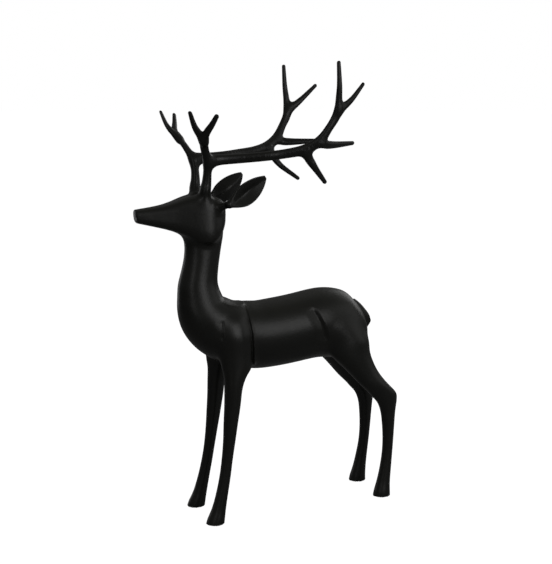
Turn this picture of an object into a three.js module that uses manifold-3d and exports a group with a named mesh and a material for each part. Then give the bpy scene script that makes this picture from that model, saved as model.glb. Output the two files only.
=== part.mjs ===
import * as THREE from 'three';
import { mergeVertices } from 'three/addons/utils/BufferGeometryUtils.js';
import Module from 'manifold-3d';

// A standing stag, cast in one piece. It faces -X, +Z is up, and it is the same on both sides of Y = 0.
// The origin is on the ground, below the middle of the stag.

// Driving sizes, in millimetres
const height = 1000;          // soles to the highest antler tip
const earWall = 4.2;          // thickness of the hollow ear at its rim
const shoulderCrease = 3.4;   // depth of the carved line behind the shoulder
const haunchCrease = 3.6;     // depth of the carved line in front of the haunch
const chestCrease = 1.6;      // depth of the soft line between chest and shoulder

// Fineness of the facets
const bodySides = 22;
const headSides = 16;
const legSides = 12;
const antlerSides = 8;
const earSides = 12;
const tailSides = 8;
const fine = 2;               // sections for each stretch of a table where the form is curved
const plain = 1;
const veryFine = 8;           // where the trunk's half width is looked up

// The pose, the proportions and the carving are shares of the height.
// Every place and half size in the tables below is in thousandths of the height.
const share = height / 1000;
const tipRounding = [35, 70];  // degrees round the end of a tine at which its last two sections lie

// Trunk and neck: each section is centred at x and z and stands across the spine.
// tilt is the direction of its upper end, in degrees up from +X.
const spine = [
  { x: 245, z: 399, depth: 15, width: 20, tilt: 96 },
  { x: 242, z: 399.5, depth: 28, width: 33, tilt: 96 },
  { x: 236.5, z: 400.5, depth: 40.5, width: 44, tilt: 96 },
  { x: 228, z: 402.5, depth: 53.5, width: 52.5, tilt: 95 },
  { x: 201, z: 406.5, depth: 74, width: 62, tilt: 93 },
  { x: 166, z: 412.5, depth: 81.5, width: 66, tilt: 91 },
  { x: 121, z: 416.5, depth: 80, width: 66.5, tilt: 90 },
  { x: 56.5, z: 408, depth: 78.5, width: 67, tilt: 90 },
  { x: 1.5, z: 403, depth: 77.5, width: 66, tilt: 90 },
  { x: -38.5, z: 402.5, depth: 76, width: 64.5, tilt: 84 },
  { x: -82.5, z: 412.5, depth: 73, width: 62.5, tilt: 67 },
  { x: -116, z: 426, depth: 68, width: 60, tilt: 54 },
  { x: -139, z: 441.5, depth: 62.4, width: 56, tilt: 44 },
  { x: -153.5, z: 459.5, depth: 57.4, width: 50, tilt: 32 },
  { x: -161.5, z: 480, depth: 51.5, width: 44, tilt: 15 },
  { x: -163.5, z: 499, depth: 48, width: 39.5, tilt: 3 },
  { x: -165, z: 526, depth: 43.7, width: 35, tilt: 0 },
  { x: -160, z: 555.5, depth: 40.5, width: 32, tilt: 0 },
  { x: -155, z: 582.5, depth: 39.4, width: 30.5, tilt: 0 },
  { x: -152.5, z: 608, depth: 40.4, width: 31, tilt: 0 },
  { x: -151, z: 636, depth: 44.5, width: 33, tilt: 0 },
  { x: -144, z: 661, depth: 40, width: 32, tilt: 0 },
];

// Head: upright sections from the flat end of the muzzle to the back of the skull
const skull = [
  { x: -304.5, z: 678.5, depth: 6.5, width: 6.5, tilt: 96 },
  { x: -303.5, z: 678.5, depth: 10.8, width: 10.6, tilt: 96 },
  { x: -301.5, z: 678.3, depth: 13.6, width: 13.2, tilt: 96 },
  { x: -297, z: 678, depth: 15, width: 14.4, tilt: 95 },
  { x: -268.5, z: 676.5, depth: 20.1, width: 18, tilt: 90 },
  { x: -242, z: 675.5, depth: 25.6, width: 22.5, tilt: 90 },
  { x: -216.5, z: 675, depth: 32.6, width: 28.5, tilt: 90 },
  { x: -193, z: 673, depth: 40, width: 34, tilt: 90 },
  { x: -168, z: 670.5, depth: 45.5, width: 38.5, tilt: 90 },
  { x: -146, z: 669, depth: 46.5, width: 40, tilt: 90 },
  { x: -125, z: 670, depth: 42, width: 36.5, tilt: 90 },
  { x: -112, z: 672, depth: 31, width: 27, tilt: 90 },
  { x: -105, z: 674, depth: 18, width: 16, tilt: 90 },
];

// Legs of one side: level sections from the sole up into the body.
// length is the half size along X and width the half size along Y.
const foreleg = [
  { x: -153.5, y: 60.5, z: 0, length: 20.6, width: 18.6 },
  { x: -150.5, y: 60, z: 12.5, length: 19.3, width: 17.4 },
  { x: -144, y: 59, z: 32.5, length: 15.9, width: 14.8 },
  { x: -136.5, y: 58, z: 62.5, length: 13.7, width: 12.9 },
  { x: -128, y: 56.5, z: 102, length: 12.6, width: 11.9 },
  { x: -121.5, y: 54.5, z: 142, length: 12.5, width: 11.9 },
  { x: -116, y: 53.5, z: 182, length: 14, width: 12.8 },
  { x: -111.5, y: 52, z: 222, length: 16.4, width: 14.4 },
  { x: -107, y: 51.5, z: 262, length: 18.6, width: 16 },
  { x: -104.5, y: 51, z: 296.5, length: 20.4, width: 18 },
  { x: -99, y: 49, z: 323.5, length: 26, width: 20 },
  { x: -92.5, y: 46, z: 346.5, length: 37, width: 22.5 },
  { x: -95.5, y: 42, z: 381.5, length: 38, width: 26 },
  { x: -98.5, y: 36, z: 416.5, length: 38, width: 31 },
  { x: -97.5, y: 27, z: 448.5, length: 29, width: 26 },
  { x: -93, y: 15, z: 471.5, length: 20, width: 14 },
];
const hindleg = [
  { x: 267.5, y: 59.5, z: 0, length: 20.8, width: 18.6 },
  { x: 268.5, y: 59.5, z: 12.5, length: 19.4, width: 17.6 },
  { x: 272, y: 58.5, z: 32.5, length: 16.4, width: 15 },
  { x: 277, y: 58, z: 62.5, length: 14, width: 13 },
  { x: 282.5, y: 56.5, z: 102, length: 12.4, width: 12 },
  { x: 285, y: 55.5, z: 142, length: 13.2, width: 12.4 },
  { x: 285, y: 54.5, z: 182, length: 16, width: 13.6 },
  { x: 284, y: 54, z: 205, length: 19.2, width: 14.6 },
  { x: 281, y: 54.5, z: 225, length: 25, width: 15.6 },
  { x: 274, y: 54.5, z: 240, length: 32, width: 16.4 },
  { x: 265, y: 54.5, z: 252, length: 33, width: 17 },
  { x: 243, y: 54.5, z: 271.5, length: 34.5, width: 18.6 },
  { x: 224, y: 51, z: 292.5, length: 37, width: 21 },
  { x: 211, y: 47.5, z: 314.5, length: 37.5, width: 24 },
  { x: 193, y: 44, z: 346.5, length: 44.5, width: 28 },
  { x: 181.5, y: 39, z: 381.5, length: 53, width: 32 },
  { x: 173, y: 34, z: 416.5, length: 56, width: 34 },
  { x: 168, y: 27, z: 448.5, length: 50, width: 30.5 },
  { x: 163, y: 21, z: 468, length: 38, width: 23 },
];

// Antler of one side: the stem and beam, then each tine from its root to its tip.
// r is the half thickness.
const antler = {
  stem: [
    { x: -160.5, y: 28, z: 700.5, r: 20 },
    { x: -159.5, y: 29.5, z: 716.5, r: 15.5 },
    { x: -158, y: 30, z: 730.5, r: 11.5 },
    { x: -155, y: 31, z: 748.5, r: 9.2 },
    { x: -154.5, y: 36, z: 769.5, r: 8.8 },
    { x: -157.5, y: 43, z: 792.5, r: 10.5 },
    { x: -169, y: 57.5, z: 818.5, r: 8 },
    { x: -181, y: 83, z: 843.5, r: 8.6 },
  ],
  beam: [
    { x: -156.5, y: 41, z: 788, r: 13 },
    { x: -141.5, y: 43, z: 795.5, r: 12 },
    { x: -117, y: 47, z: 796, r: 9.4 },
    { x: -76.5, y: 56.5, z: 797.5, r: 9.2 },
    { x: -36.5, y: 72, z: 801, r: 9 },
    { x: 5.5, y: 82, z: 806, r: 9.6 },
    { x: 43.5, y: 98, z: 814.5, r: 11 },
    { x: 72.5, y: 110.5, z: 832, r: 11 },
    { x: 91, y: 118.5, z: 860.5, r: 7.6 },
    { x: 108.5, y: 125.5, z: 896, r: 10.5 },
    { x: 107, y: 131.5, z: 925, r: 6.9 },
    { x: 105.5, y: 135.5, z: 953, r: 5.5 },
    { x: 103, y: 136, z: 996.5, r: 3.6 },
  ],
  browFront: [
    { x: -178, y: 80, z: 840.5, r: 7.4 },
    { x: -192, y: 84, z: 853.5, r: 7 },
    { x: -202, y: 87, z: 868, r: 5.6 },
    { x: -212.5, y: 90.5, z: 892, r: 3.9 },
  ],
  browOuter: [
    { x: -178, y: 80, z: 840.5, r: 7.4 },
    { x: -178, y: 100, z: 853.5, r: 7 },
    { x: -173, y: 113, z: 868.5, r: 5.6 },
    { x: -168.5, y: 127.5, z: 886, r: 4.2 },
  ],
  crownRear: [
    { x: 104.5, y: 123.5, z: 889.5, r: 9 },
    { x: 123, y: 123.5, z: 904, r: 7.6 },
    { x: 144, y: 121.5, z: 922, r: 5.6 },
    { x: 172, y: 113, z: 949.5, r: 3.6 },
  ],
  rearTine: [
    { x: 57.5, y: 105, z: 823, r: 11 },
    { x: 87.5, y: 110, z: 825, r: 8.6 },
    { x: 116, y: 101, z: 824.5, r: 7 },
    { x: 164, y: 86, z: 826.5, r: 4.6 },
  ],
  lowTine: [
    { x: 37.5, y: 97, z: 811.5, r: 12 },
    { x: 51.5, y: 95, z: 796.5, r: 9.4 },
    { x: 72.5, y: 93, z: 772, r: 6.6 },
    { x: 105.5, y: 70.5, z: 743, r: 4.5 },
  ],
};

// Ear of one side: along runs from 0 at the skull to 1 at the tip. width is the half breadth of the leaf,
// cup the depth of its hollow, shift how far the section lies down the leaf's breadth, and swell how much
// its half thickness gains on the rim's where it grows out of the stalk.
const earRoot = { x: -115.5, y: 61, z: 701.5 };
const earTip = { x: -34, y: 65, z: 758 };
const ear = [
  { along: 0, width: 8, cup: 0, shift: 0, swell: 5 },
  { along: 0.16, width: 13.5, cup: 2, shift: 4, swell: 3 },
  { along: 0.32, width: 20.6, cup: 6.5, shift: 5.3, swell: 0.5 },
  { along: 0.5, width: 22.8, cup: 8.5, shift: 4.9, swell: 0 },
  { along: 0.68, width: 19.8, cup: 7, shift: 4.2, swell: 0 },
  { along: 0.84, width: 13.6, cup: 4, shift: 2.8, swell: 0 },
  { along: 0.95, width: 7.2, cup: 1.5, shift: 1.2, swell: 0 },
  { along: 1, width: 3, cup: 0, shift: 0, swell: 0 },
];
const earStalk = [
  { x: -136.5, y: 20, z: 687, r: 11 },
  { x: -125.5, y: 40, z: 694, r: 9 },
  { x: -112.5, y: 59, z: 704, r: 7.4 },
];

// Tail: a short flat wedge that lies down the rump
const tail = [
  { x: 218.5, z: 459, depth: 6, width: 5, tilt: 38 },
  { x: 228.5, z: 447, depth: 9, width: 8.5, tilt: 38 },
  { x: 238, z: 432, depth: 12, width: 11.5, tilt: 38 },
  { x: 247.5, z: 416, depth: 14, width: 13, tilt: 39 },
  { x: 257.5, z: 398.5, depth: 12.8, width: 11, tilt: 53 },
];

// Carved lines of one flank, each from top to bottom. The surface starts to dip at dip in front of the line
// and has come back out at step behind it.
const shoulderCut = {
  dip: 24,
  step: 1.5,
  line: [
    { x: -67.5, z: 479 }, { x: -68, z: 453.5 }, { x: -66, z: 426.5 }, { x: -63.5, z: 393.5 },
    { x: -60, z: 359.5 }, { x: -55, z: 335.5 },
  ],
};
const haunchCut = {
  dip: 22,
  step: 8,
  line: [
    { x: 81.5, z: 467.5 }, { x: 94.5, z: 445.5 }, { x: 105, z: 425.5 }, { x: 112, z: 409.5 },
    { x: 118, z: 389.5 },
  ],
};
const chestCut = {
  dip: 16,
  step: 1,
  line: [
    { x: -131, z: 456.5 }, { x: -132, z: 441.5 }, { x: -133, z: 421.5 }, { x: -134, z: 403.5 },
  ],
};
const cutterReach = 14;        // how far a cutter stands out of the flank
const cutterSkim = 0.3;        // how far above the flank its front edge starts

const wasm = await Module();
wasm.setup();

function degrees(angle) {
  return THREE.MathUtils.degToRad(angle);
}

// Reads one smooth value between the stations of a table: t runs from 0 to the last station.
function between(stations, key, t) {
  const last = stations.length - 1;
  const i = Math.min(Math.floor(t), last - 1);
  const s = t - i;
  const at = (k) => stations[THREE.MathUtils.clamp(k, 0, last)][key];
  const slopeIn = (at(i + 1) - at(i - 1)) / (i === 0 ? 1 : 2);
  const slopeOut = (at(i + 2) - at(i)) / (i === last - 1 ? 1 : 2);
  const s2 = s * s;
  const s3 = s2 * s;
  return (2 * s3 - 3 * s2 + 1) * at(i) + (s3 - 2 * s2 + s) * slopeIn
    + (3 * s2 - 2 * s3) * at(i + 1) + (s3 - s2) * slopeOut;
}

// Fills in a table: steps sections for each stretch between two stations.
function smoothed(stations, steps) {
  const rows = [];
  for (let k = 0; k <= (stations.length - 1) * steps; k++) {
    const row = {};
    for (const key of Object.keys(stations[0])) {
      row[key] = between(stations, key, k / steps);
    }
    rows.push(row);
  }
  return rows;
}

// One closed section: an oval with half sizes a and b along the unit directions u and v.
function oval(centre, u, v, a, b, sides) {
  const ring = [];
  for (let k = 0; k < sides; k++) {
    const angle = (2 * Math.PI * (k + 0.5)) / sides;
    ring.push(centre.clone().addScaledVector(u, a * Math.cos(angle)).addScaledVector(v, b * Math.sin(angle)));
  }
  return ring;
}

// Skins a row of rings into one closed solid, with flat ends.
function skin(rings) {
  const sides = rings[0].length;
  const points = rings.flat();
  const centres = [rings[0], rings.at(-1)].map((ring) => {
    const sum = ring.reduce((total, point) => total.add(point), new THREE.Vector3());
    return sum.divideScalar(sides);
  });
  const faces = [];
  for (let i = 0; i + 1 < rings.length; i++) {
    for (let k = 0; k < sides; k++) {
      const a = i * sides + k;
      const b = i * sides + ((k + 1) % sides);
      faces.push(a, b, a + sides, b, b + sides, a + sides);
    }
  }
  const first = points.length;
  const last = first + 1;
  for (let k = 0; k < sides; k++) {
    const next = (k + 1) % sides;
    const top = (rings.length - 1) * sides;
    faces.push(first, next, k, last, top + k, top + next);
  }
  const geometry = new THREE.BufferGeometry().setFromPoints([...points, ...centres]);
  geometry.setIndex(faces);
  return solid(geometry);
}

// Turns a closed geometry into a solid, with its faces pointing out.
function solid(geometry) {
  const merged = mergeVertices(geometry);
  const index = Uint32Array.from(merged.index.array);
  const position = merged.attributes.position;
  const [a, b, c] = [new THREE.Vector3(), new THREE.Vector3(), new THREE.Vector3()];
  let volume = 0;
  for (let k = 0; k < index.length; k += 3) {
    a.fromBufferAttribute(position, index[k]);
    b.fromBufferAttribute(position, index[k + 1]);
    c.fromBufferAttribute(position, index[k + 2]);
    volume += a.dot(b.cross(c));
  }
  if (volume < 0) {
    index.reverse();
  }
  return new wasm.Manifold(new wasm.Mesh({
    numProp: 3, vertProperties: Float32Array.from(position.array), triVerts: index,
  }));
}

function join(solids) {
  return solids.reduce((whole, next) => whole.add(next));
}

// Trunk, neck, head and tail: sections that stand across the middle plane.
function median(stations, steps, sides) {
  const across = new THREE.Vector3(0, 1, 0);
  return skin(smoothed(stations, steps).map((row) => {
    const up = new THREE.Vector3(Math.cos(degrees(row.tilt)), 0, Math.sin(degrees(row.tilt)));
    const centre = new THREE.Vector3(row.x, 0, row.z).multiplyScalar(share);
    return oval(centre, up, across, row.depth * share, row.width * share, sides);
  }));
}

// Legs: level sections.
function upright(stations, steps, side) {
  const forward = new THREE.Vector3(1, 0, 0);
  const across = new THREE.Vector3(0, side, 0);
  return skin(smoothed(stations, steps).map((row) => {
    const centre = new THREE.Vector3(row.x, side * row.y, row.z).multiplyScalar(share);
    return oval(centre, forward, across, row.length * share, row.width * share, legSides);
  }));
}

// Antler branches: round sections square to their path, with a rounded tip.
function branch(stations, steps, side) {
  const rows = smoothed(stations, steps);
  const centres = rows.map((row) => new THREE.Vector3(row.x, side * row.y, row.z).multiplyScalar(share));
  const rings = rows.map((row, i) => {
    const ahead = centres[Math.min(i + 1, rows.length - 1)];
    const behind = centres[Math.max(i - 1, 0)];
    return ringSquareTo(centres[i], ahead.clone().sub(behind).normalize(), row.r * share);
  });
  const tip = rows.at(-1).r * share;
  const direction = centres.at(-1).clone().sub(centres.at(-2)).normalize();
  for (const angle of tipRounding) {
    const centre = centres.at(-1).clone().addScaledVector(direction, tip * Math.sin(degrees(angle)));
    rings.push(ringSquareTo(centre, direction, tip * Math.cos(degrees(angle))));
  }
  return skin(rings);
}

function ringSquareTo(centre, direction, radius) {
  const across = new THREE.Vector3(0, 1, 0);
  across.addScaledVector(direction, -across.dot(direction)).normalize();
  const up = direction.clone().cross(across);
  return oval(centre, up, across, radius, radius, antlerSides);
}

// Ear: a leaf with a hollow that faces outwards, on a short round stalk.
function earLeaf(side) {
  const root = new THREE.Vector3(earRoot.x, side * earRoot.y, earRoot.z).multiplyScalar(share);
  const tip = new THREE.Vector3(earTip.x, side * earTip.y, earTip.z).multiplyScalar(share);
  const axis = tip.clone().sub(root).normalize();
  const breadth = new THREE.Vector3(-axis.z, 0, axis.x).normalize();
  const outward = axis.clone().cross(breadth).multiplyScalar(-side);
  return skin(smoothed(ear, fine).map((row) => {
    const centre = root.clone().lerp(tip, row.along).addScaledVector(breadth, -row.shift * share);
    const halfThickness = earWall / 2 + row.swell * share;
    const ring = [];
    for (let k = 0; k < earSides; k++) {
      const angle = (2 * Math.PI * k) / earSides;
      const rise = Math.sin(angle);
      const bulge = Math.sign(rise) * Math.sqrt(Math.abs(rise)) * halfThickness;
      ring.push(centre.clone()
        .addScaledVector(breadth, row.width * share * Math.cos(angle))
        .addScaledVector(outward, bulge - row.cup * share * rise * rise));
    }
    return ring;
  }));
}

// Half width of the trunk beside a point of the middle plane.
const trunkRows = smoothed(spine, veryFine);

function flank(x, z) {
  let nearest = { gap: Infinity, width: 0 };
  for (const row of trunkRows) {
    const up = degrees(row.tilt);
    const along = (x - row.x) * Math.sin(up) - (z - row.z) * Math.cos(up);
    const offset = (x - row.x) * Math.cos(up) + (z - row.z) * Math.sin(up);
    const inside = 1 - (offset / row.depth) ** 2;
    if (inside > 0 && Math.abs(along) < nearest.gap) {
      nearest = { gap: Math.abs(along), width: row.width * Math.sqrt(inside) };
    }
  }
  return nearest.width;
}

// The cutter of one carved line: the surface dips towards the line from the front and steps back up
// behind it.
function crease(cut, depth, side) {
  const rows = smoothed(cut.line, fine);
  return skin(rows.map((row, i) => {
    const fade = Math.sqrt(Math.sin((Math.PI * (i + 1)) / (rows.length + 1)));
    const onFlank = (x, rise) => {
      const y = side * (flank(x, row.z) + rise);
      return new THREE.Vector3(x, y, row.z).multiplyScalar(share);
    };
    return [
      onFlank(row.x, (-depth / share) * fade),
      onFlank(row.x + cut.step, cutterReach),
      onFlank(row.x - cut.dip, cutterReach),
      onFlank(row.x - cut.dip, cutterSkim),
    ];
  }));
}

// Sets the casting at its full height on the ground, with the middle of its length over the origin.
function settled(whole) {
  const { min, max } = whole.boundingBox();
  return whole.translate([-(min[0] + max[0]) / 2, 0, -min[2]]).scale(height / (max[2] - min[2]));
}

function stag() {
  const solids = [
    median(spine, fine, bodySides), median(skull, fine, headSides), median(tail, fine, tailSides),
  ];
  const { stem, beam, ...tines } = antler;
  for (const side of [-1, 1]) {
    solids.push(upright(foreleg, plain, side), upright(hindleg, plain, side));
    solids.push(earLeaf(side), branch(earStalk, fine, side));
    solids.push(branch(stem, fine, side), branch(beam, fine, side));
    for (const tine of Object.values(tines)) {
      solids.push(branch(tine, plain, side));
    }
  }
  let whole = join(solids);
  for (const side of [-1, 1]) {
    whole = whole.subtract(crease(shoulderCut, shoulderCrease, side))
      .subtract(crease(haunchCut, haunchCrease, side))
      .subtract(crease(chestCut, chestCrease, side));
  }
  return settled(whole);
}

function meshFrom(name, whole, material) {
  const { vertProperties, triVerts } = whole.getMesh();
  const geometry = new THREE.BufferGeometry();
  geometry.setAttribute('position', new THREE.BufferAttribute(vertProperties, 3));
  geometry.setIndex(new THREE.BufferAttribute(triVerts, 1));
  geometry.computeVertexNormals();
  const mesh = new THREE.Mesh(geometry, material);
  mesh.name = name;
  return mesh;
}

const blackPaint = new THREE.MeshStandardMaterial({ color: 0x15150f, roughness: 0.42, metalness: 0.1 });

const group = new THREE.Group();
group.add(meshFrom('stag', stag(), blackPaint));

export default group;
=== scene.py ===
"""A standing stag in black painted cast iron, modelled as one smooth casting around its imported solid."""
import logging
import math
from dataclasses import dataclass
from enum import Enum

import bmesh
import bpy
import numpy as np
from mathutils import Matrix, Vector


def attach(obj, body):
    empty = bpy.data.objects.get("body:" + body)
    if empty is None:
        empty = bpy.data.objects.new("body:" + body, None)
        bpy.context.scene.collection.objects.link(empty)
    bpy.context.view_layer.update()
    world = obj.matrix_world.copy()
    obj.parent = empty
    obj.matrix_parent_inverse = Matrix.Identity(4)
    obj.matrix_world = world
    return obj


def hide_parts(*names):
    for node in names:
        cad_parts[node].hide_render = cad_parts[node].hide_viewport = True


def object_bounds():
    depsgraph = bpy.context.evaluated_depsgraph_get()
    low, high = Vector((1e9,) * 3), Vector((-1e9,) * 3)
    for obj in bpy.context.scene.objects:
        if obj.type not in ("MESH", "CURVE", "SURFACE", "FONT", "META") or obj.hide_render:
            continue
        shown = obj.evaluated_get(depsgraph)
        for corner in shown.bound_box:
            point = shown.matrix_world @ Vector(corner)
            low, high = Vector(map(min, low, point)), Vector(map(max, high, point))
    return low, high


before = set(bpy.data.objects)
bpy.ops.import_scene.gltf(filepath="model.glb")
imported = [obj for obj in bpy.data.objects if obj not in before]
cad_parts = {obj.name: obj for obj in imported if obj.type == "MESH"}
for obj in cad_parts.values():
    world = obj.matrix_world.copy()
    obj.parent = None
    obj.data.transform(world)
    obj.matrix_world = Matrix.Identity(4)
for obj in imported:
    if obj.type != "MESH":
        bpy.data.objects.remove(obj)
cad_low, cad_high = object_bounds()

log = logging.getLogger("stag")

# The casting's tables are in thousandths of its height, as in the part's own source.
# It faces -X, and every limb off the middle plane is given for the +Y side and mirrored.
HEIGHT = (cad_high - cad_low).z
PARTS = 1000
SHARE = HEIGHT / PARTS

# How the form is worked out: the distance far from every limb, the room round a limb and round one length of
# a branch, samples between two rows of a table, points handled at a time, and the least divisors
FAR = 30.0
LIMB_MARGIN = 8
BRANCH_MARGIN = 6
SECTION_STEPS = 10
BRANCH_STEPS = 4
LEAF_STEPS = 12
BATCH = 20000
LEAST_RING = 1e-6
LEAST = 1e-9

# The box in which the skin of the +Y half is looked for, a little past the casting
SAMPLED_FROM = (-312, 0, -6)
SAMPLED_TO = (312, 148, 1008)

RIGHT_ANGLE = 90
WHITE = (1.0, 1.0, 1.0)
BLACK = (0.0, 0.0, 0.0)

# Trunk and neck: x, z, half depth, half width, tilt of each section's upper end in degrees up from +X
SPINE = (
    (242.5, 399, 15, 18, 96), (240, 399.5, 28, 30, 96), (235, 400.5, 40.5, 38.5, 96),
    (226, 402.5, 53, 47, 95), (201, 407, 75.4, 57, 93), (166, 412.5, 81.5, 63.5, 91),
    (121, 416.5, 80, 66.5, 90), (56.5, 408, 78.5, 67, 90), (1.5, 403, 77.5, 66, 90),
    (-38.5, 402.5, 76, 64.5, 84), (-82.5, 412.5, 73, 62.5, 67), (-116, 426, 68, 60, 54),
    (-137.7, 442.6, 64, 56, 44), (-151.9, 460.5, 59.4, 50, 32), (-159.6, 480.5, 53.5, 43.5, 15),
    (-161.9, 499, 49.6, 39, 3), (-165.3, 526, 44.3, 34.5, 0), (-160.6, 555.5, 41.1, 31.4, 0),
    (-155.6, 582.5, 40, 29.6, 0), (-152.5, 608, 41.2, 28.6, 0), (-151.5, 630, 44.5, 28, 0),
    (-148, 655, 42, 27, 0),
)

# Head: the same columns, from the flat end of the muzzle to the back of the skull
SKULL = (
    (-304.9, 678.5, 6.5, 6.5, 96), (-303.9, 678.5, 11.2, 10.8, 96), (-301.8, 678.2, 14.1, 13.6, 96),
    (-297, 677.8, 15.4, 14.6, 95), (-268.5, 676.3, 20.4, 19.4, 90), (-242, 675.1, 25.9, 24.2, 90),
    (-216.5, 674.6, 33.6, 29.2, 90), (-193, 672.4, 42.6, 35, 90), (-168, 668, 51, 41.2, 90),
    (-146, 665.8, 51.8, 43.8, 90), (-125, 669.5, 44, 38, 90), (-112, 676, 31, 28, 90),
    (-105, 680, 17, 15, 90),
)

# Tail: the same columns, down the rump
TAIL = (
    (216.5, 461, 6, 5, 38), (227.5, 448, 9.5, 8, 38), (237.5, 432.5, 12.4, 10.4, 38),
    (247.4, 417, 14, 11.4, 40), (256.4, 402, 12.2, 9.6, 55),
)

# Legs: x, y, z, half length along X and half width along Y of each level section
FORELEG = (
    (-153.5, 60.5, 0, 20.6, 18.6), (-150.5, 60, 12.5, 19.3, 17.4), (-144, 59, 32.5, 15.9, 14.8),
    (-136.5, 58, 62.5, 13.7, 12.9), (-128, 56.5, 102, 12.6, 11.9), (-121.5, 54.5, 142, 12.5, 11.9),
    (-116, 53.5, 182, 14, 12.8), (-111.5, 52, 222, 16.4, 14.4), (-107, 51.5, 262, 18.6, 16),
    (-104.5, 51, 296.5, 20.4, 18), (-99, 49, 323.5, 26, 20), (-92.5, 46, 346.5, 37, 22.5),
    (-95.5, 42, 381.5, 38, 26), (-98.5, 36, 416.5, 38, 31), (-97.5, 27, 448.5, 29, 26),
    (-93, 15, 471.5, 20, 14),
)
HINDLEG = (
    (267.5, 59.5, 0, 20.8, 18.6), (268.5, 59.5, 12.5, 19.4, 17.6), (272, 58.5, 32.5, 16.4, 15),
    (277, 58, 62.5, 14, 13), (282.5, 56.5, 102, 12.4, 12), (285, 55.5, 142, 13.2, 12.4),
    (285, 54.5, 182, 16, 13.6), (284, 54, 205, 19.2, 14.6), (281, 54.5, 225, 25, 15.6),
    (274, 54.5, 240, 32, 16.4), (265, 54.5, 252, 33.6, 17), (244.8, 54.5, 271.5, 34, 18.6),
    (226.6, 51, 292.5, 35.3, 21), (209.8, 47.5, 314.5, 39.4, 24), (188.5, 44, 346.5, 49, 28),
    (181.5, 39, 381.5, 53, 32), (159, 29, 416.5, 50.5, 33), (154, 18, 442, 40, 26),
    (151, 11, 459, 22, 12),
)

# Antler branches: x, y, z, half height in the fork's plane, half thickness across it, from root to tip
STEM = (
    (-161, 11, 680, 10, 10), (-159.5, 16, 695, 13.2, 13.2), (-158.5, 21.5, 708, 14, 14),
    (-158.2, 27, 719.5, 13.4, 13.4), (-157.6, 31.6, 732, 12.2, 12), (-155.5, 34, 748.5, 10.2, 9.8),
    (-155, 37.5, 769.5, 9, 8.5), (-157.5, 45, 792.5, 9.2, 8), (-168.5, 58, 818.5, 9.2, 6.4),
    (-179, 79, 840, 9.8, 5.6),
)
PEDICLE_MOUND = (
    (-204, 12, 696, 10, 10), (-183, 14, 700.5, 14, 14), (-160, 15, 700, 17, 17),
    (-140, 12, 696, 14, 14),
)
BEAM = (
    (-151.5, 44, 791, 5, 4.5), (-139, 44.7, 794, 11.4, 7.6), (-117, 47.5, 795.3, 10.8, 7.2),
    (-76.5, 56.5, 797.8, 10.4, 7), (-36.5, 72, 801.4, 10.2, 7), (5.5, 82, 806.4, 10.2, 7),
    (43.5, 98, 815.2, 11.2, 7.2), (72.5, 110, 833.3, 11, 7), (91, 117.8, 860.5, 8.8, 6.2),
    (104.4, 122.4, 884, 9.8, 5.8), (107.5, 127.8, 905, 8.8, 5.6), (107, 131, 925, 7.3, 5.4),
    (105.5, 135.5, 953, 5.9, 4.6), (103, 136, 995.6, 4.4, 3.6),
)
BROW_FRONT = (
    (-176, 74, 834, 7, 5.6), (-191.4, 83.5, 852.5, 8, 5.6), (-202, 87.5, 868, 6.4, 4.3),
    (-211.8, 91.5, 892.6, 4.6, 3),
)
BROW_OUTER = (
    (-176, 74, 834, 7, 5.6), (-178.6, 97.5, 853, 7.6, 5.8), (-173.4, 112.5, 868.5, 6.3, 4.6),
    (-168.5, 127.7, 886.3, 5, 3.4),
)
CROWN_REAR = (
    (112.5, 125, 894.5, 3.6, 3.2), (123, 124.5, 905, 7.8, 5.2), (144, 122.8, 922.3, 6.2, 4.4),
    (173.6, 114, 952.2, 4.2, 3.2),
)
REAR_TINE = (
    (71, 108.5, 826.5, 3.6, 3.2), (88, 109.5, 824.8, 9, 6.2), (116, 101, 824.2, 7.9, 5.6),
    (165, 85, 826.4, 4.8, 3.8),
)
LOW_TINE = (
    (47, 95, 807.5, 4.6, 4.2), (55.6, 93.5, 795, 9.4, 6.6), (74, 91.3, 771.5, 7, 5.4),
    (107, 68, 742.7, 4.8, 3.9),
)
EAR_STALK = ((-140, 17, 684, 13, 12), (-126.5, 39, 694, 9.4, 8.8), (-112.5, 59.5, 702.7, 7.2, 6.8))

# Directions across the planes in which the branches are flattened
ACROSS_BROW = (-0.59, 0.617, -0.521)
ACROSS_BEAM = (0, 0.995, -0.1)
ACROSS_CROWN = (0.3, 0.949, -0.1)
ACROSS_REAR = (0.35, 0.818, -0.456)
ACROSS_LOW = (-0.134, 0.886, -0.444)
ACROSS_STALK = (0, 0, 1)

# Ear leaf, folded along its rib: share of the way to the tip, half breadth, depth of the fold, shift down,
# extra half thickness
EAR_ROOT = (-115, 61, 700.4)
EAR_TIP = (-33, 65, 757.5)
EAR_LEAF = (
    (0, 8, 0, 0, 5), (0.16, 15.5, 5, 4, 2.2), (0.32, 22.2, 10, 5, 0.4), (0.5, 23.6, 12.5, 4.9, 0),
    (0.68, 20.5, 10.5, 4.2, 0), (0.84, 14.2, 6, 2.8, 0), (0.95, 7.5, 2, 1.2, 0), (1, 3, 0, 0, 0),
)
EAR_WALL = 4.2
EAR_FOLD = 0.16
EAR_MARGIN = 30
EAR_LEAST_WIDTH = 0.5

# Carved lines of one flank, x and z from top to bottom
SHOULDER_LINE = (
    (-67.5, 479), (-68, 453.5), (-66, 426.5), (-63.5, 393.5), (-60, 359.5), (-55, 335.5), (-52, 318),
)
HAUNCH_LINE = ((84, 466), (92.5, 447), (102, 426.5), (109, 409.5), (115, 390), (118, 378))
CHEST_LINE = ((-131, 456.5), (-132, 441.5), (-133, 421.5), (-134, 403.5))


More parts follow.
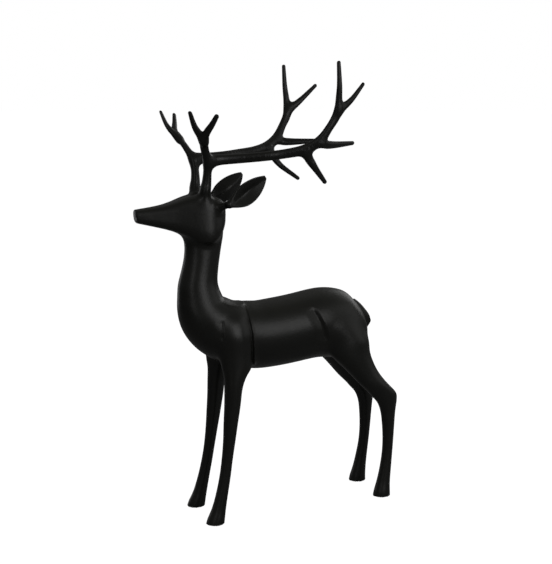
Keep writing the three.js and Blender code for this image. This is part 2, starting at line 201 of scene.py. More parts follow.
class Lattice:
    """A regular grid of points, given by its coordinates along the three axes."""

    def __init__(self, xs: np.ndarray, ys: np.ndarray, zs: np.ndarray) -> None:
        """Keeps the three rows of coordinates."""
        self.axes = (xs, ys, zs)
        self.shape = (len(xs), len(ys), len(zs))

    def coordinates(self) -> tuple[np.ndarray, np.ndarray, np.ndarray]:
        """Returns x, y and z so that they broadcast against each other."""
        xs, ys, zs = self.axes
        return xs[:, None, None], ys[None, :, None], zs[None, None, :]

    def within(self, low: np.ndarray, high: np.ndarray) -> tuple[tuple[slice, ...], "Lattice"]:
        """Picks the points in a box.

        Args:
            low: The box's lowest corner.
            high: The box's highest corner.

        Returns:
            The index of those points, and the points.
        """
        cuts = tuple(
            slice(int(np.searchsorted(axis, lo)), int(np.searchsorted(axis, hi)))
            for axis, lo, hi in zip(self.axes, low, high)
        )
        return cuts, Lattice(*(axis[cut] for axis, cut in zip(self.axes, cuts)))


class Cloud:
    """Points scattered in space."""

    def __init__(self, points: np.ndarray) -> None:
        """Keeps the points, one a row."""
        self.points = points
        self.shape = (len(points),)

    def coordinates(self) -> tuple[np.ndarray, np.ndarray, np.ndarray]:
        """Returns x, y and z of every point."""
        return self.points[:, 0], self.points[:, 1], self.points[:, 2]

    def within(self, low: np.ndarray, high: np.ndarray) -> tuple[np.ndarray, "Cloud"]:
        """Picks the points in a box.

        Args:
            low: The box's lowest corner.
            high: The box's highest corner.

        Returns:
            The index of those points, and the points.
        """
        inside = np.nonzero(np.all((self.points > low) & (self.points < high), axis=1))[0]
        return inside, Cloud(self.points[inside])


class Track:
    """Smooth values along a row of stations, read by a position from 0 to the last station."""

    def __init__(self, rows: tuple[tuple[float, ...], ...]) -> None:
        """Keeps the stations as an array."""
        self.rows = np.array(rows, float)
        self.last = len(rows) - 1

    def at(self, position: np.ndarray) -> np.ndarray:
        """Reads every column at each position.

        Args:
            position: Positions from 0 to the last station.

        Returns:
            One row of values for each position.
        """
        i = np.clip(np.floor(position).astype(int), 0, self.last - 1)
        s = (position - i)[:, None]
        before = self.rows[np.maximum(i - 1, 0)]
        start, end = self.rows[i], self.rows[i + 1]
        after = self.rows[np.minimum(i + 2, self.last)]
        slope_in = (end - before) / np.where(i == 0, 1, 2)[:, None]
        slope_out = (after - start) / np.where(i == self.last - 1, 1, 2)[:, None]
        s2, s3 = s * s, s * s * s
        return (
            (2 * s3 - 3 * s2 + 1) * start + (s3 - 2 * s2 + s) * slope_in
            + (3 * s2 - 2 * s3) * end + (s3 - s2) * slope_out
        )

    def samples(self, steps: int) -> np.ndarray:
        """Reads the track at a number of even steps between each two stations."""
        return self.at(np.linspace(0, self.last, self.last * steps + 1))

    def softened(self, steps: int) -> np.ndarray:
        """Reads the track as in samples, with its bends eased over one station's length.

        Args:
            steps: Steps between each two stations.

        Returns:
            One row of values for each step.
        """
        rows = self.samples(steps)
        half = steps // 2
        before = 2 * rows[0] - rows[half:0:-1]
        after = 2 * rows[-1] - rows[-2:-half - 2:-1]
        padded = np.concatenate([before, rows, after])
        weights = np.hanning(2 * half + 3)[1:-1]
        weights /= weights.sum()
        return np.stack([np.convolve(column, weights, "valid") for column in padded.T], axis=1)


def oval_distance(
    u: np.ndarray, v: np.ndarray, a: np.ndarray, b: np.ndarray, fullness: float | np.ndarray = 2,
) -> np.ndarray:
    """Distance to an oval, right near its edge.

    Args:
        u: Offset along the first half axis.
        v: Offset along the second half axis.
        a: First half size.
        b: Second half size.
        fullness: 2 for an ellipse, more for a fuller, squarer oval.

    Returns:
        The distance, negative inside.
    """
    along, across = np.abs(u / a), np.abs(v / b)
    ring = np.maximum((along ** fullness + across ** fullness) ** (1 / fullness), LEAST_RING)
    edge = fullness - 1
    slope = np.sqrt((along ** edge / a) ** 2 + (across ** edge / b) ** 2) / ring ** edge
    return (ring - 1) / np.maximum(slope, LEAST_RING)


def smooth_step(low: float, high: float, value: np.ndarray) -> np.ndarray:
    """Rises smoothly from 0 at low to 1 at high."""
    s = np.clip((value - low) / (high - low), 0, 1)
    return s * s * (3 - 2 * s)


def smooth_min(a: np.ndarray, b: np.ndarray, fillet: float) -> np.ndarray:
    """The lesser of two distances, with a fillet where they cross."""
    overlap = np.maximum(fillet - np.abs(a - b), 0) / fillet
    return np.minimum(a, b) - overlap * overlap * fillet / 4


@dataclass
class Limb:
    """One form of the casting, given by a distance that is negative inside it."""

    rows: tuple[tuple[float, ...], ...]
    fillet: float

    def __post_init__(self) -> None:
        """Works out what the distance needs."""
        self.prepare()

    def prepare(self) -> None:
        """Works out the limb's samples and its reach."""
        raise NotImplementedError

    def distance(self, points: Lattice | Cloud) -> np.ndarray:
        """Distance from each point to the limb."""
        raise NotImplementedError


@dataclass
class MedianLimb(Limb):
    """Trunk, head or tail: oval sections that stand across the middle plane."""

    fullness: float = 2
    taper: float = 0

    def prepare(self) -> None:
        """Samples the sections and finds the reach."""
        self.section = Track(self.rows).softened(SECTION_STEPS)
        x, z, depth, width, tilt = self.section.T
        self.up = np.stack([np.cos(np.radians(tilt)), np.sin(np.radians(tilt))], axis=1)
        size = np.maximum(depth, width)
        self.low = np.array([(x - size).min(), -width.max(), (z - size).min()])
        self.high = np.array([(x + size).max(), width.max(), (z + size).max()])

    def sections_at(self, px: np.ndarray, pz: np.ndarray) -> tuple[np.ndarray, ...]:
        """Finds the section whose plane holds each point of the middle plane.

        Args:
            px: x of the points.
            pz: z of the points.

        Returns:
            Offset along the section, its depth and width, and how far the point is past either end.
        """
        x, z, depth, width = self.section[:, :4].T
        ux, uz = self.up.T
        ahead = (px[:, None] - x) * uz - (pz[:, None] - z) * ux
        first, second = ahead[:, :-1], ahead[:, 1:]
        gap = first - second
        share = np.clip(first / np.where(np.abs(gap) < LEAST, LEAST, gap), 0, 1)
        crossed = (first * second) <= 0

        def mixed(values: np.ndarray) -> np.ndarray:
            """Values between each two samples."""
            return values[:-1] + share * (values[1:] - values[:-1])

        offset = (px[:, None] - mixed(x)) * mixed(ux) + (pz[:, None] - mixed(z)) * mixed(uz)
        deep, wide = mixed(depth), mixed(width)
        reach = np.where(crossed, np.abs(offset) / deep, np.inf)
        best = reach.argmin(axis=1)
        rows = np.arange(len(px))
        found = [values[rows, best] for values in (offset, deep, wide)]
        missed = ~crossed.any(axis=1)
        turn = np.sign(((x[-1] - x[0]) * uz[0]) - ((z[-1] - z[0]) * ux[0]))
        past_start, past_end = -turn * ahead[:, 0], turn * ahead[:, -1]
        for end, past in ((0, past_start), (-1, past_end)):
            chosen = missed & (past > 0)
            other = (px - x[end]) * ux[end] + (pz - z[end]) * uz[end]
            found[0] = np.where(chosen, other, found[0])
            found[1] = np.where(chosen, depth[end], found[1])
            found[2] = np.where(chosen, width[end], found[2])
        return (*found, np.maximum(past_start, past_end))

    def distance(self, points: Lattice | Cloud) -> np.ndarray:
        """Distance to the limb.

        Args:
            points: Where it is wanted.

        Returns:
            The distance at each point, negative inside.
        """
        x, y, z = points.coordinates()
        px, pz = np.broadcast_arrays(x, z)
        flat_x, flat_z = px.ravel(), pz.ravel()
        parts = [
            self.sections_at(flat_x[k:k + BATCH], flat_z[k:k + BATCH])
            for k in range(0, len(flat_x), BATCH)
        ]
        offset, depth, width, past = (np.concatenate(column).reshape(px.shape) for column in zip(*parts))
        fullness = 2 + (self.fullness - 2) * width / self.high[1]
        width = width * (1 - self.taper * np.clip(offset / depth, -1, 1))
        return np.maximum(oval_distance(offset, y, depth, width, fullness), past)


class LevelLimb(Limb):
    """A leg: level oval sections from the sole up into the body."""

    def prepare(self) -> None:
        """Samples the sections and finds the reach."""
        self.section = Track(self.rows).softened(SECTION_STEPS)
        x, y, z, length, width = self.section.T
        self.low = np.array([(x - length).min(), (y - width).min(), z.min()])
        self.high = np.array([(x + length).max(), (y + width).max(), z.max()])

    def distance(self, points: Lattice | Cloud) -> np.ndarray:
        """Distance to the leg.

        Args:
            points: Where it is wanted.

        Returns:
            The distance at each point, negative inside.
        """
        px, py, pz = points.coordinates()
        z = self.section[:, 2]
        x, y, length, width = (np.interp(pz, z, self.section[:, k]) for k in (0, 1, 3, 4))
        past = np.maximum(z[0] - pz, pz - z[-1])
        return np.maximum(oval_distance(px - x, py - y, length, width), past)


@dataclass
class Branch(Limb):
    """An antler branch or an ear's stalk: a rod flattened across one direction, with a rounded end."""

    across: tuple[float, float, float]

    def prepare(self) -> None:
        """Samples the rod and finds the reach."""
        self.section = Track(self.rows).samples(BRANCH_STEPS)
        centre, size = self.section[:, :3], self.section[:, 3:].max(axis=1, keepdims=True)
        self.low, self.high = (centre - size).min(axis=0), (centre + size).max(axis=0)

    def distance(self, points: Lattice | Cloud) -> np.ndarray:
        """Distance to the rod.

        Args:
            points: Where it is wanted.

        Returns:
            The distance at each point, negative inside.
        """
        values = np.full(points.shape, FAR)
        for start, end in zip(self.section[:-1], self.section[1:]):
            reach = max(*start[3:], *end[3:]) + self.fillet + BRANCH_MARGIN
            corners = np.stack([start[:3], end[:3]])
            key, near = points.within(corners.min(axis=0) - reach, corners.max(axis=0) + reach)
            if 0 in near.shape:
                continue
            x, y, z = near.coordinates()
            run = end[:3] - start[:3]
            forward = (x - start[0]) * run[0] + (y - start[1]) * run[1] + (z - start[2]) * run[2]
            share = np.clip(forward / (run @ run), 0, 1)
            off = [p - start[k] - share * run[k] for k, p in enumerate((x, y, z))]
            over = sum(part * line for part, line in zip(off, self.across))
            along = np.sqrt(np.maximum(sum(part ** 2 for part in off) - over ** 2, 0))
            half_height, half_thickness = (start[k] + share * (end[k] - start[k]) for k in (3, 4))
            values[key] = np.minimum(values[key], oval_distance(along, over, half_height, half_thickness))
        return values


class EarLeaf(Limb):
    """An ear: a leaf with a hollow that faces outwards."""

    def prepare(self) -> None:
        """Finds the leaf's own directions and its reach."""
        root, tip = np.array(EAR_ROOT, float), np.array(EAR_TIP, float)
        self.root, self.length = root, float(np.linalg.norm(tip - root))
        self.axis = (tip - root) / self.length
        breadth = np.array([-self.axis[2], 0, self.axis[0]])
        self.breadth = breadth / np.linalg.norm(breadth)
        self.outward = -np.cross(self.axis, self.breadth)
        self.section = Track(self.rows).samples(LEAF_STEPS)
        corners = np.stack([root, tip])
        self.low, self.high = corners.min(axis=0) - EAR_MARGIN, corners.max(axis=0) + EAR_MARGIN

    def distance(self, points: Lattice | Cloud) -> np.ndarray:
        """Distance to the leaf.

        Args:
            points: Where it is wanted.

        Returns:
            The distance at each point, negative inside.
        """
        x, y, z = points.coordinates()
        dx, dy, dz = x - self.root[0], y - self.root[1], z - self.root[2]
        along, across, out = (
            dx * line[0] + dy * line[1] + dz * line[2] for line in (self.axis, self.breadth, self.outward)
        )
        place = np.clip(along / self.length, 0, 1 - EAR_WALL / 2 / self.length)
        width, cup, shift, swell = (
            np.interp(place, self.section[:, 0], self.section[:, k]) for k in range(1, 5)
        )
        half = EAR_WALL / 2 + swell
        across = across + shift
        room = np.maximum(width - half, EAR_LEAST_WIDTH)
        held = np.clip(across, -room, room)
        from_rib = np.sqrt((held / width) ** 2 + EAR_FOLD ** 2)
        rise = cup / (math.sqrt(1 + EAR_FOLD ** 2) - EAR_FOLD)
        middle = rise * (from_rib - EAR_FOLD) - cup
        slope = rise * held / width ** 2 / from_rib
        lift = (out - middle) / np.sqrt(1 + slope ** 2)
        return np.sqrt((along - place * self.length) ** 2 + (across - held) ** 2 + lift ** 2) - half


@dataclass
class Crease:
    """A carved line on the flank: the surface dips towards it from the front and steps back up behind it.

    It reaches from an inner to an outer distance off the middle plane, and fades out towards its ends and
    inwards.
    """

    line: tuple[tuple[float, float], ...]
    depth: float
    dip: float
    step: float
    inner: float = 8
    outer: float = 90
    hollow: float = 1.6
    end_fade: float = 0.25
    inner_fade: tuple[float, float] = (10, 26)

    def cut(self, points: Lattice | Cloud) -> tuple[object, np.ndarray]:
        """How far the surface lies back at each point near the line.

        Args:
            points: The points of the whole casting.

        Returns:
            The index of the points near the line, and the depth there.
        """
        line = np.array(self.line)[::-1]
        low = np.array([line[:, 0].min() - self.dip, self.inner, line[0, 1]])
        high = np.array([line[:, 0].max() + self.step, self.outer, line[-1, 1]])
        key, near = points.within(low, high)
        x, y, z = near.coordinates()
        from_line = x - np.interp(z, line[:, 1], line[:, 0])
        dipping = np.clip(1 + from_line / self.dip, 0, 1) ** self.hollow
        stepping = 1 - smooth_step(0, self.step, from_line)
        share = np.clip((z - low[2]) / (high[2] - low[2]), 0, 1)
        ends = smooth_step(0, self.end_fade, share) * smooth_step(0, self.end_fade, 1 - share)
        return key, self.depth * dipping * stepping * (ends * smooth_step(*self.inner_fade, y))


class Casting:
    """The whole stag as one smooth form."""

    def __init__(self) -> None:
        """Lists the limbs and the carved lines."""
        self.limbs: list[Limb] = [
            MedianLimb(SPINE, fillet=10),
            LevelLimb(FORELEG, fillet=18),
            LevelLimb(HINDLEG, fillet=14),
            MedianLimb(SKULL, fillet=14, fullness=4.8, taper=0.07),
            MedianLimb(TAIL, fillet=2, fullness=3),
            Branch(STEM, fillet=13, across=ACROSS_BROW),
            Branch(PEDICLE_MOUND, fillet=10, across=ACROSS_BROW),
            Branch(BEAM, fillet=20, across=ACROSS_BEAM),
            Branch(BROW_FRONT, fillet=8, across=ACROSS_BROW),
            Branch(BROW_OUTER, fillet=8, across=ACROSS_BROW),
            Branch(CROWN_REAR, fillet=14, across=ACROSS_CROWN),
            Branch(REAR_TINE, fillet=10, across=ACROSS_REAR),
            Branch(LOW_TINE, fillet=17, across=ACROSS_LOW),
            Branch(EAR_STALK, fillet=12, across=ACROSS_STALK),
            EarLeaf(EAR_LEAF, fillet=4),
        ]
        self.creases = [
            Crease(SHOULDER_LINE, depth=4.4, dip=26, step=4),
            Crease(HAUNCH_LINE, depth=5, dip=26, step=12),
            Crease(CHEST_LINE, depth=1.6, dip=18, step=6),
        ]

    def distance(self, points: Lattice | Cloud) -> np.ndarray:
        """Distance to the casting's skin.

        Args:
            points: Points of the +Y side.

        Returns:
            The distance at each point, negative inside.
        """
        values = np.full(points.shape, FAR)
        for limb in self.limbs:
            margin = limb.fillet + LIMB_MARGIN
            key, near = points.within(limb.low - margin, limb.high + margin)
            if 0 in near.shape:
                continue
            values[key] = smooth_min(values[key], limb.distance(near), limb.fillet)
        for crease in self.creases:
            key, depth = crease.cut(points)
            values[key] += depth
        return values

    def gradient(self, points: np.ndarray, step: float = 0.25) -> np.ndarray:
        """Slope of the distance at points on either side of the middle plane.

        Args:
            points: The points, one a row.
            step: Half the span over which the slope is measured.

        Returns:
            The slope's vector at each point.
        """
        slopes = []
        for axis in range(3):
            shift = np.zeros(3)
            shift[axis] = step
            slopes.append((self.mirrored(points + shift) - self.mirrored(points - shift)) / (2 * step))
        return np.stack(slopes, axis=1)

    def mirrored(self, points: np.ndarray) -> np.ndarray:
        """Distance at points on either side of the middle plane."""
        return self.distance(Cloud(np.abs(points * (0, 1, 0)) + points * (1, 0, 1)))


class Skin:
    """The triangles of a casting's surface."""

    def __init__(self, casting: Casting, spacing: float) -> None:
        """Samples the +Y half of the casting and finds its surface.

        Args:
            casting: The form.
            spacing: Distance between the sample points.
        """
        low = np.array(SAMPLED_FROM) - (0, spacing / 2, 0)
        self.spacing = spacing
        self.lattice = Lattice(*(np.arange(lo, hi, spacing) for lo, hi in zip(low, SAMPLED_TO)))
        self.values = casting.distance(self.lattice)
        self.inside = self.values < 0

    def cell_points(self) -> tuple[np.ndarray, np.ndarray]:
        """One point in each cell that the surface crosses.

        Returns:
            The cells' indices, and the points.
        """
        count = np.zeros(tuple(n - 1 for n in self.inside.shape), np.int8)
        corners = [(i, j, k) for i in (0, 1) for j in (0, 1) for k in (0, 1)]
        for i, j, k in corners:
            nx, ny, nz = count.shape
            count += self.inside[i:i + nx, j:j + ny, k:k + nz]
        cells = np.argwhere((count > 0) & (count < len(corners)))
        total = np.zeros((len(cells), 3))
        hits = np.zeros(len(cells))
        for a in corners:
            for b in corners:
                if sum(b) - sum(a) != 1 or any(q < p for p, q in zip(a, b)):
                    continue
                va = self.values[tuple((cells + a).T)]
                vb = self.values[tuple((cells + b).T)]
                crossed = (va < 0) != (vb < 0)
                share = np.where(crossed, va / np.where(crossed, va - vb, 1), 0)
                point = np.array(a) + share[:, None] * (np.array(b) - np.array(a))
                total += np.where(crossed[:, None], point, 0)
                hits += crossed
        start = np.array([axis[0] for axis in self.lattice.axes])
        points = start + (cells + total / hits[:, None]) * self.spacing
        points[cells[:, 1] == 0, 1] = 0
        return cells, points

    def quads(self, number: np.ndarray) -> np.ndarray:
        """The four-sided faces, one round each grid line that the surface crosses.

        Args:
            number: The point's number in each cell, or -1.

        Returns:
            Four point numbers for each face, turning so that it faces out.
        """
        found = []
        for axis in range(3):
            first = [slice(1, -1)] * 3
            first[axis] = slice(0, -1)
            second = list(first)
            second[axis] = slice(1, None)
            if axis == 1:
                first[1], second[1] = slice(1, -1), slice(2, None)
            a, b = self.inside[tuple(first)], self.inside[tuple(second)]
            edges = np.argwhere(a != b)
            leaving = a[tuple(edges.T)]
            node = edges + [s.start for s in first]
            u, v = (axis + 1) % 3, (axis + 2) % 3
            ring = []
            for du, dv in ((0, 0), (-1, 0), (-1, -1), (0, -1)):
                cell = node.copy()
                cell[:, u] += du
                cell[:, v] += dv
                ring.append(number[tuple(cell.T)])
            ring = np.stack(ring, axis=1)
            found.append(np.where(leaving[:, None], ring, ring[:, ::-1]))
        return np.concatenate(found)

    def whole(self) -> tuple[np.ndarray, np.ndarray]:
        """The surface of both halves.

        Returns:
            The points, and four point numbers for each face.
        """
        cells, points = self.cell_points()
        number = np.full(tuple(n - 1 for n in self.inside.shape), -1, np.int32)
        number[tuple(cells.T)] = np.arange(len(cells))
        quads = self.quads(number)
        off_middle = cells[:, 1] > 0
        twin = np.where(off_middle, len(points) + np.cumsum(off_middle) - 1, np.arange(len(points)))
        points = np.concatenate([points, points[off_middle] * (1, -1, 1)])
        return points, np.concatenate([quads, twin[quads][:, ::-1]])


class Wire:
    """A node's output that takes part in Python expressions."""

    def __init__(self, sheet: "Sheet", socket: bpy.types.NodeSocket) -> None:
        """Keeps the socket and the sheet of nodes that it is on."""
        self.sheet = sheet
        self.socket = socket

    def __add__(self, other: "Wire | float") -> "Wire":
        """Adds a value."""
        return self.sheet.maths("ADD", self, other)

    __radd__ = __add__

    def __sub__(self, other: "Wire | float") -> "Wire":
        """Takes a value away."""
        return self.sheet.maths("SUBTRACT", self, other)

    def __rsub__(self, other: "Wire | float") -> "Wire":
        """Takes this away from a value."""
        return self.sheet.maths("SUBTRACT", other, self)

    def __mul__(self, other: "Wire | float") -> "Wire":
        """Multiplies by a value."""
        return self.sheet.maths("MULTIPLY", self, other)

    __rmul__ = __mul__


class Sheet:
    """The nodes of one material or world, with the places of the Mix node's colour sockets."""

    FIRST_COLOUR = 6
    SECOND_COLOUR = 7
    MIXED_COLOUR = 2

    def __init__(self, owner: bpy.types.ID) -> None:
        """Empties the owner's nodes.

        Args:
            owner: The material or world.
        """
        owner.use_nodes = True
        self.tree = owner.node_tree
        self.tree.nodes.clear()

    def node(self, kind: str, settings: dict[str, object], values: dict[str | int, object]) -> bpy.types.Node:
        """Adds one node.

        Args:
            kind: The node's type.
            settings: Its own settings, which are set first.
            values: A number, colour or wire for each input, by name or place.

        Returns:
            The node.
        """
        made = self.tree.nodes.new(kind)
        for name, value in settings.items():
            setattr(made, name, value)
        for name, value in values.items():
            if isinstance(value, Wire):
                self.tree.links.new(value.socket, made.inputs[name])
            else:
                made.inputs[name].default_value = value
        return made

    def out(self, node: bpy.types.Node, name: str | int = 0) -> Wire:
        """One output of a node."""
        return Wire(self, node.outputs[name])

    def maths(self, operation: str, *values: "Wire | float") -> Wire:
        """A sum, product or other operation on values."""
        return self.out(self.node("ShaderNodeMath", {"operation": operation}, dict(enumerate(values))))

    def clamped(self, value: Wire) -> Wire:
        """The value, held between 0 and 1."""
        return self.out(self.node("ShaderNodeClamp", {}, {"Value": value}))

    def noise(self, scale: float, detail: float) -> Wire:
        """Cloudy noise in the object's own space.

        Args:
            scale: Clouds to a unit of length.
            detail: How many finer layers it has.

        Returns:
            A value from 0 to 1.
        """
        place = self.out(self.node("ShaderNodeTexCoord", {}, {}), "Object")
        values = {"Vector": place, "Scale": scale, "Detail": detail}
        return self.out(self.node("ShaderNodeTexNoise", {"noise_dimensions": "3D"}, values), "Fac")

    def mixed(self, share: Wire, first: tuple[float, ...], second: tuple[float, ...]) -> Wire:
        """A colour between two others."""
        values = {"Factor": share, self.FIRST_COLOUR: (*first, 1), self.SECOND_COLOUR: (*second, 1)}
        return self.out(self.node("ShaderNodeMix", {"data_type": "RGBA"}, values), self.MIXED_COLOUR)


class Gloss(Enum):
    """How the light sits on a finish: its mean roughness."""

    SATIN = 0.33
    FLAT = 0.9


@dataclass(frozen=True)
class BlackPaint:
    """Satin black paint over cast iron, with dust and a painted top light that make what faces up lighter.

    The grain and the unevenness are in thousandths of the height, and the relief's depth in metres.
    """

    # deep is the paint's own colour; the second colour is partly dust and partly painted top light, laid on
    # what faces up
    deep: tuple[float, float, float] = (0.0054, 0.0055, 0.004)
    dust_and_painted_top_light_colour: tuple[float, float, float] = (0.019, 0.0192, 0.014)
    gloss: Gloss = Gloss.SATIN
    specular: float = 0.42
    cloud_scale: float = 11.0
    cloud_detail: float = 4.0
    cloud_roughness: float = 0.12
    grain: float = 2.2
    grain_detail: float = 2.0
    grain_roughness: float = 0.05
    unevenness: float = 14.0
    unevenness_detail: float = 1.0
    # How strongly dust and painted top light lighten what faces up, evenly and through the clouds
    least_dust_and_painted_top_light: float = 0.35
    cloud_dust_and_painted_top_light: float = 0.9
    dust_and_painted_top_light_roughness: float = 0.08
    relief_strength: float = 0.32
    relief_depth: float = 0.0009
    relief_grain: float = 0.2
    middle: float = 0.5

    def material(self) -> bpy.types.Material:
        """Makes the paint.

        Returns:
            The material.
        """
        made = bpy.data.materials.new("black_paint")
        sheet = Sheet(made)
        cloud = sheet.noise(self.cloud_scale, self.cloud_detail)
        fine = sheet.noise(PARTS / self.grain / HEIGHT, self.grain_detail)
        broad = sheet.noise(PARTS / self.unevenness / HEIGHT, self.unevenness_detail)
        facing = sheet.node("ShaderNodeNewGeometry", {}, {})
        split = sheet.node("ShaderNodeSeparateXYZ", {}, {"Vector": sheet.out(facing, "Normal")})
        upward = sheet.clamped(sheet.out(split, "Z"))
        # Dust and painted top light: the colour turns lighter the more a surface faces up, standing in for
        # light from above as well as for dust
        dust_and_painted_top_light = sheet.clamped(upward * (self.least_dust_and_painted_top_light + self.cloud_dust_and_painted_top_light * cloud))
        colour = sheet.mixed(dust_and_painted_top_light, self.deep, self.dust_and_painted_top_light_colour)
        roughness = sheet.clamped(
            self.gloss.value + self.cloud_roughness * (cloud - self.middle)
            + self.dust_and_painted_top_light_roughness * dust_and_painted_top_light + self.grain_roughness * (fine - self.middle)
        )
        height = broad * (1 - self.relief_grain) + fine * self.relief_grain
        relief = sheet.node(
            "ShaderNodeBump", {},
            {"Strength": self.relief_strength, "Distance": self.relief_depth, "Height": height},
        )
        shader = sheet.node(
            "ShaderNodeBsdfPrincipled", {},
            {
                "Base Color": colour, "Roughness": roughness, "Normal": sheet.out(relief),
                "Metallic": 0.0, "Specular IOR Level": self.specular,
            },
        )
        sheet.node("ShaderNodeOutputMaterial", {}, {"Surface": sheet.out(shader)})
        return made


@dataclass(frozen=True)
class PaleFloor:
    """Plain pale floor of the studio, lifted to the backdrop's white where it shows."""

    colour: tuple[float, float, float] = (0.35, 0.35, 0.35)
    lift: float = 0.96
    specular: float = 0.1
    gloss: Gloss = Gloss.FLAT

    def material(self) -> bpy.types.Material:
        """Makes the floor's finish.

        Returns:
            The material.
        """
        made = bpy.data.materials.new("pale_floor")
        sheet = Sheet(made)
        seen = sheet.out(sheet.node("ShaderNodeLightPath", {}, {}), "Is Camera Ray")
        shader = sheet.node(
            "ShaderNodeBsdfPrincipled", {},
            {
                "Base Color": (*self.colour, 1), "Roughness": self.gloss.value,
                "Specular IOR Level": self.specular,
                "Emission Color": sheet.mixed(seen, BLACK, WHITE), "Emission Strength": self.lift,
            },
        )
        sheet.node("ShaderNodeOutputMaterial", {}, {"Surface": sheet.out(shader)})
        return made


@dataclass
class StagCasting:
    """The stag's one piece: its smooth skin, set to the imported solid's size and painted.

    The spacings and the longest move are in thousandths of the height.
    """

    name: str = "stag_casting"
    node: str = "stag"
    slot: str = "black_iron"
    spacing: float = 1.9
    quick_spacing: float = 3.4
    most_triangles: int = 190000
    settling_rounds: int = 2
    least_steepness: float = 0.2
    longest_move: float = 1.2
    paint: BlackPaint = BlackPaint()

    def build(self) -> bpy.types.Object:
        """Makes the piece and rides it on the frame.

        Returns:
            The object.
        """
        casting = Casting()
        spacing = self.spacing
        points, faces = Skin(casting, spacing).whole()
        mesh = bpy.data.meshes.new(self.name)
        mesh.from_pydata(points, [], faces)
        mesh = self.thinned(mesh)
        self.settle(mesh, casting)
        piece = bpy.data.objects.new(self.name, mesh)
        bpy.context.scene.collection.objects.link(piece)
        mesh.materials.append(self.paint.material())
        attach(piece, "root")
        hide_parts(self.node)
        return piece

    def thinned(self, mesh: bpy.types.Mesh) -> bpy.types.Mesh:
        """Brings the mesh under its limit, keeping most triangles where the form bends most.

        Args:
            mesh: The even mesh, in four-sided faces.

        Returns:
            The thinned mesh, in triangles.
        """
        holder = bpy.data.objects.new("holder", mesh)
        bpy.context.scene.collection.objects.link(holder)
        triangles = 2 * len(mesh.polygons)
        modifier = holder.modifiers.new("thin", "DECIMATE")
        modifier.ratio = min(1.0, self.most_triangles / triangles)
        modifier.use_collapse_triangulate = True
        graph = bpy.context.evaluated_depsgraph_get()
        made = bpy.data.meshes.new_from_object(holder.evaluated_get(graph))
        bpy.data.objects.remove(holder)
        bpy.data.meshes.remove(mesh)
        made.name = self.name
        return made

    def settle(self, mesh: bpy.types.Mesh, casting: Casting) -> None:
        """Moves every point onto the true form, sets the real size and gives the mesh the form's own normals.

        Args:
            mesh: The mesh, in thousandths of the height.
            casting: The form.
        """
        flat = np.zeros(len(mesh.vertices) * 3, np.float32)
        mesh.vertices.foreach_get("co", flat)
        points = flat.reshape(-1, 3).astype(float)
        for _ in range(self.settling_rounds):
            slope = casting.gradient(points)
            steepness = np.maximum((slope ** 2).sum(axis=1), self.least_steepness)
            move = -(casting.mirrored(points) / steepness)[:, None] * slope
            length = np.linalg.norm(move, axis=1, keepdims=True)
            points += move * np.minimum(1, self.longest_move / np.maximum(length, LEAST))
        normals = casting.gradient(points)
        normals /= np.maximum(np.linalg.norm(normals, axis=1, keepdims=True), LEAST)
        points = np.clip(points * SHARE, np.array(cad_low), np.array(cad_high))
        mesh.vertices.foreach_set("co", points.astype(np.float32).ravel())
        mesh.update()
        mesh.polygons.foreach_set("use_smooth", [True] * len(mesh.polygons))
        mesh.normals_split_custom_set_from_vertices(normals.astype(np.float32))


@dataclass(frozen=True)
class Softbox:
    """One rectangular studio light, its place, aim and sides in heights of the stag."""

    name: str
    place: tuple[float, float, float]
    aim: tuple[float, float, float]
    size: tuple[float, float]
    watts: float

    def build(self) -> bpy.types.Object:
        """Makes the light.

        Returns:
            The light's object.
        """
        data = bpy.data.lights.new(self.name, "AREA")
        data.shape = "RECTANGLE"
        data.size, data.size_y = (side * HEIGHT for side in self.size)
        data.energy = self.watts * HEIGHT ** 2
        light = bpy.data.objects.new(self.name, data)
        light.location = Vector(self.place) * HEIGHT
        toward = Vector(self.aim) * HEIGHT - light.location
        light.rotation_euler = toward.to_track_quat("-Z", "Y").to_euler()
        light.visible_camera = False
        bpy.context.scene.collection.objects.link(light)
        return light


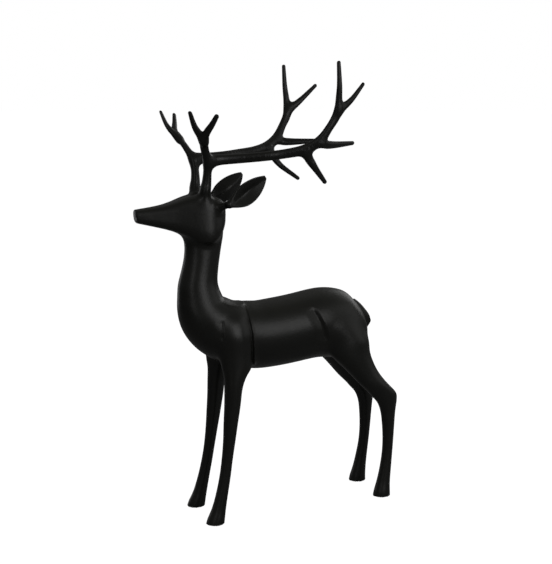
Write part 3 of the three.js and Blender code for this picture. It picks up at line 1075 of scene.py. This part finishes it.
@dataclass
class Studio:
    """Floor, light and camera. Places and the floor's side are in heights of the stag."""

    eye: tuple[float, float, float] = (-0.9853, -2.1962, 0.9164)
    yaw: float = 24.62
    pitch: float = 9.388
    focal_pixels: float = 1093.48
    frame_pixels: tuple[int, int] = (552, 564)
    sensor_mm: float = 36.0
    farthest_m: float = 100
    background: float = 1.0
    ambient: float = 0.14
    floor_size: float = 300.0
    softboxes: tuple[Softbox, ...] = (
        Softbox("right", place=(0.62, -2.3, 1.16), aim=(0, 0, 0.62), size=(1.2, 1.45), watts=9.4),
        Softbox("left", place=(-1.5, -1.85, 1.2), aim=(0, 0, 0.55), size=(0.4, 1.5), watts=2.2),
        Softbox("side", place=(2.3, -1.2, 1.3), aim=(0, 0, 0.55), size=(1.4, 1.8), watts=3.4),
        Softbox("rear_right", place=(2.3, 1.0, 1.6), aim=(0.2, 0, 0.5), size=(1.6, 1.5), watts=11),
        Softbox("rear_left", place=(-1.35, 2.15, 0.62), aim=(-0.2, 0, 0.55), size=(1.3, 1.2), watts=3.6),
        Softbox("top", place=(0.2, 0.9, 2.7), aim=(0, 0, 0.5), size=(2.4, 2.0), watts=1.6),
    )

    def build(self) -> None:
        """Makes the floor, the lights, the world and the camera."""
        self.build_floor()
        self.build_world()
        for softbox in self.softboxes:
            softbox.build()
        self.build_camera()
        bpy.context.scene.view_settings.view_transform = "Standard"

    def build_floor(self) -> bpy.types.Object:
        """Makes the plain floor.

        Returns:
            The floor.
        """
        mesh = bpy.data.meshes.new("floor")
        shape = bmesh.new()
        bmesh.ops.create_grid(shape, x_segments=1, y_segments=1, size=self.floor_size / 2 * HEIGHT)
        shape.to_mesh(mesh)
        shape.free()
        floor = bpy.data.objects.new("floor", mesh)
        floor.matrix_world = Matrix.Translation((0, 0, cad_low.z))
        bpy.context.scene.collection.objects.link(floor)
        mesh.materials.append(PaleFloor().material())
        return floor

    def build_world(self) -> None:
        """Makes the white backdrop, which lights the stag less than it shows."""
        world = bpy.data.worlds.new("studio")
        bpy.context.scene.world = world
        sheet = Sheet(world)
        seen = sheet.out(sheet.node("ShaderNodeLightPath", {}, {}), "Is Camera Ray")
        strength = self.ambient + (self.background - self.ambient) * seen
        backdrop = sheet.node("ShaderNodeBackground", {}, {"Color": (*WHITE, 1), "Strength": strength})
        sheet.node("ShaderNodeOutputWorld", {}, {"Surface": sheet.out(backdrop)})

    def build_camera(self) -> bpy.types.Object:
        """Makes the camera at the photograph's place.

        Returns:
            The camera.
        """
        data = bpy.data.cameras.new("camera")
        data.sensor_width = self.sensor_mm
        data.lens = self.sensor_mm * self.focal_pixels / max(self.frame_pixels)
        data.clip_end = self.farthest_m
        camera = bpy.data.objects.new("camera", data)
        camera.location = Vector(self.eye) * HEIGHT
        camera.rotation_euler = (math.radians(RIGHT_ANGLE - self.pitch), 0, -math.radians(self.yaw))
        bpy.context.scene.collection.objects.link(camera)
        bpy.context.scene.camera = camera
        return camera


def main() -> None:
    """Builds the studio and the stag."""
    logging.basicConfig(level=logging.INFO, format="%(message)s")
    Studio().build()
    log.info("studio: floor, lights and camera")
    piece = StagCasting().build()
    log.info("%s: %d triangles", piece.name, len(piece.data.polygons))


if __name__ == "__main__":
    main()
